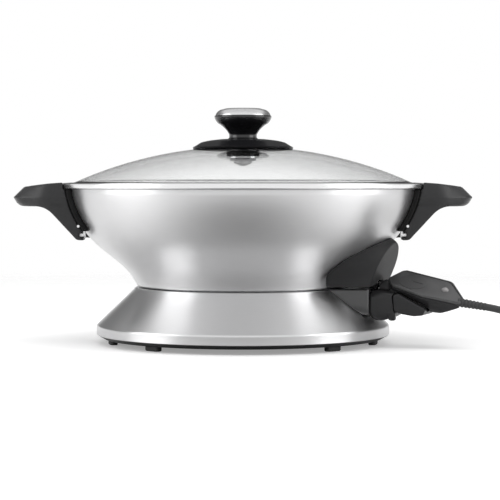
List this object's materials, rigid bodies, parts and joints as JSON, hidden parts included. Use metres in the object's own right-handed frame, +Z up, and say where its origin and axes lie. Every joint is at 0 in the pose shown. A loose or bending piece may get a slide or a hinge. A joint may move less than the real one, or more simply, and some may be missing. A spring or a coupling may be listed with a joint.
{
  "type": "electric wok",
  "caption": "Electric wok: a clad steel bowl on a conical base with two side handles, a lift-off domed glass lid with a knob, and a plug-in temperature probe with its mains cord.",
  "frame": {"origin": "on the table, under the middle of the bowl", "axes": "+Z up along the axis of the bowl, -Y towards the front, handles along X; the probe leaves the right side, turned 20 degrees towards the front"},
  "size_m": [0.6324, 0.375, 0.2417],
  "materials": {
    "glass": "clear",
    "bright_steel": "satin",
    "shell_steel": "satin",
    "polished_steel": "polished",
    "core_aluminium": "satin",
    "coated_core": "matte non-stick",
    "phenolic": "satin",
    "black_plastic": "matte",
    "dial_plastic": "satin",
    "lens": "gloss",
    "black_enamel": "satin",
    "galvanised": "satin",
    "brass": "satin",
    "rubber": "matte",
    "silicone": "matte",
    "cord_jacket": "satin"
  },
  "bodies": {
    "cooker": {"bowl_shell": "shell_steel", "bowl_liner": "coated_core", "heating_element": "galvanised", "bowl_bottom_cover": "galvanised", "terminal_block": "phenolic", "sensor_block": "core_aluminium", "terminal_pins": "polished_steel", "base_shell": "shell_steel", "base_pan": "core_aluminium", "bottom_plate": "black_enamel", "foot_pads": "rubber", "plate_screws": "polished_steel", "bowl_stud": "polished_steel", "terminal_shield": "phenolic", "socket_guard": "polished_steel", "probe_cowl": "phenolic", "handle_right": "phenolic", "handle_pad_right": "phenolic", "handle_brackets_right": "polished_steel", "handle_screws_right": "polished_steel", "handle_pins_right": "polished_steel", "handle_left": "phenolic", "handle_pad_left": "phenolic", "handle_brackets_left": "polished_steel", "handle_screws_left": "polished_steel", "handle_pins_left": "polished_steel"},
    "lid": {"lid_glass": "glass", "lid_seal": "silicone", "lid_band": "bright_steel", "knob_guard_disc": "phenolic", "knob_grip": "phenolic", "knob_cap": "bright_steel", "knob_gasket": "silicone", "lid_boss": "phenolic", "lid_washer": "polished_steel", "lid_lock_washer": "galvanised", "knob_screw": "polished_steel"},
    "lever": {"base_release_lever": "black_plastic"},
    "probe": {"probe_nose": "phenolic", "plug_contacts": "brass", "sensing_rod": "polished_steel", "probe_housing": "black_plastic", "probe_face": "dial_plastic", "thermostat_switch": "brass", "indicator_lens": "lens", "indicator_lamp": "glass", "trigger_pin": "polished_steel", "probe_screws": "polished_steel", "strain_relief": "cord_jacket", "power_cord": "cord_jacket", "cord_coil": "cord_jacket", "cord_tail": "cord_jacket", "mains_plug": "cord_jacket", "plug_pins": "brass"},
    "dial": {"temperature_dial": "dial_plastic", "dial_cam_shaft": "black_plastic"},
    "trigger": {"release_trigger": "black_plastic"}
  },
  "joints": [
    {"name": "lid_lift", "type": "slide", "parent": "cooker", "child": "lid", "axis": [0, 0, 1], "range_m": [0, 0.15]},
    {"name": "probe_pull", "type": "slide", "parent": "cooker", "child": "probe", "axis": [0.9397, -0.342, 0], "range_m": [0, 0.12]},
    {"name": "dial_turn", "type": "hinge", "parent": "probe", "child": "dial", "pos_m": [0.17005, -0.06286, 0.06556], "axis": [0.047, -0.4669, 0.8831], "range_deg": [0, 270]},
    {"name": "trigger_squeeze", "type": "hinge", "parent": "probe", "child": "trigger", "pos_m": [0.16022, -0.05831, 0.0445], "axis": [-0.342, -0.9397, 0], "range_deg": [0, 5], "stiffness_Nm_per_rad": 0.4, "springref_deg": -8.59},
    {"name": "lever_turn", "type": "hinge", "parent": "cooker", "child": "lever", "pos_m": [0, 0, 0.011], "axis": [0, 0, 1], "range_deg": [0, 90]}
  ]
}
